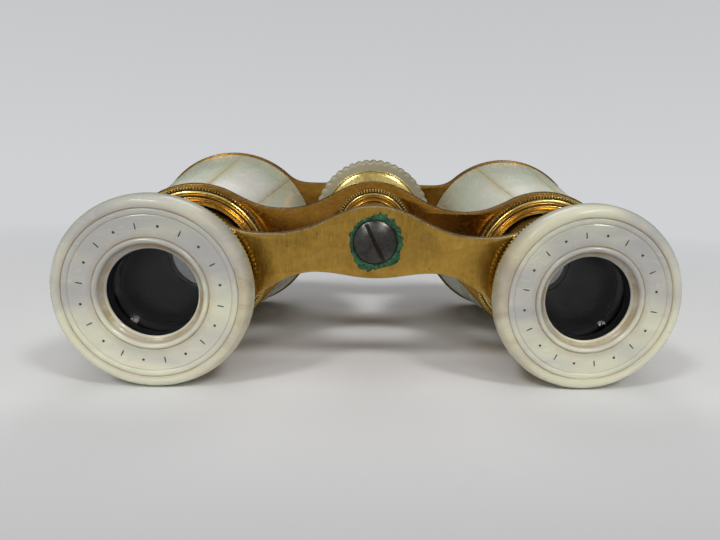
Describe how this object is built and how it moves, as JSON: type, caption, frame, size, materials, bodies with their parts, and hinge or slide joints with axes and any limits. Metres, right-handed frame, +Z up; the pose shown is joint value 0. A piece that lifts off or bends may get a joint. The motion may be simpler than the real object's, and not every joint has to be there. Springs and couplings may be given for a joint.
{
  "type": "opera glasses",
  "caption": "Centre-focus opera glasses with pearl-faced tapering barrels, pearl eyecups, gilt brass bridges, a central column and a knurled pearl focusing wheel.",
  "frame": {"origin": "middle of the base of the bounding box, on the surface that the glasses lie on, resting on both eyecups and on both rings of the front bridge", "axes": "+X towards the right barrel as seen from the eyepieces, +Y from the eyepieces towards the objectives, +Z up; the optical axes lie in planes of constant X and rise 3.8 degrees towards the objectives, because the objective end is larger"},
  "size_m": [0.0974, 0.0646, 0.0353],
  "materials": {
    "gilt_brass": "satin gilt brass, worn pale at the edges",
    "polished_brass": "polished turned brass",
    "blackened_brass": "matt black inside the eyepieces",
    "steel": "dark worn steel",
    "pearl": "polished mother-of-pearl",
    "wheel_pearl": "grey translucent mother-of-pearl",
    "lens_glass": "clear uncoated lens glass"
  },
  "bodies": {
    "frame": {"front_bridge": "gilt_brass", "middle_bridge": "gilt_brass", "column_guide": "polished_brass", "spindle_bearing": "polished_brass", "barrel_left": "gilt_brass", "pearl_slip_left_1": "pearl", "pearl_slip_left_2": "pearl", "pearl_slip_left_3": "pearl", "pearl_slip_left_4": "pearl", "pearl_slip_left_5": "pearl", "pearl_slip_left_6": "pearl", "pearl_slip_left_7": "pearl", "pearl_slip_left_8": "pearl", "pearl_slip_left_9": "pearl", "objective_cell_left": "polished_brass", "objective_crown_left": "lens_glass", "objective_flint_left": "lens_glass", "objective_retainer_left": "polished_brass", "draw_tube_guide_left": "polished_brass", "barrel_right": "gilt_brass", "pearl_slip_right_1": "pearl", "pearl_slip_right_2": "pearl", "pearl_slip_right_3": "pearl", "pearl_slip_right_4": "pearl", "pearl_slip_right_5": "pearl", "pearl_slip_right_6": "pearl", "pearl_slip_right_7": "pearl", "pearl_slip_right_8": "pearl", "pearl_slip_right_9": "pearl", "objective_cell_right": "polished_brass", "objective_crown_right": "lens_glass", "objective_flint_right": "lens_glass", "objective_retainer_right": "polished_brass", "draw_tube_guide_right": "polished_brass"},
    "carriage": {"ocular_bridge": "gilt_brass", "focus_column": "gilt_brass", "column_nut": "polished_brass", "column_screw": "steel", "draw_tube_left": "gilt_brass", "draw_tube_stop_left": "gilt_brass", "eyepiece_collar_left": "polished_brass", "eyecup_left": "pearl", "eye_lens_cell_left": "blackened_brass", "eye_lens_left": "lens_glass", "eye_lens_retainer_left": "blackened_brass", "draw_tube_right": "gilt_brass", "draw_tube_stop_right": "gilt_brass", "eyepiece_collar_right": "polished_brass", "eyecup_right": "pearl", "eye_lens_cell_right": "blackened_brass", "eye_lens_right": "lens_glass", "eye_lens_retainer_right": "blackened_brass"},
    "wheel": {"focus_wheel": "wheel_pearl", "wheel_flange_rear": "polished_brass", "wheel_flange_front": "polished_brass", "wheel_hub": "polished_brass", "focus_spindle": "steel", "spindle_end_nut": "steel"}
  },
  "joints": [
    {"name": "focus_slide", "type": "slide", "parent": "frame", "child": "carriage", "axis": [0, 0.9978, 0.0663], "range_m": [-0.0025, 0.013]},
    {"name": "wheel_turn", "type": "hinge", "parent": "frame", "child": "wheel", "pos_m": [0, 0.00477, 0.02285], "axis": [0, 0.9978, 0.0663], "range_deg": [-113, 586]}
  ],
  "couplings": [
    {"joint": "wheel_turn", "follows": "focus_slide", "rad_per_m": 785.4}
  ]
}
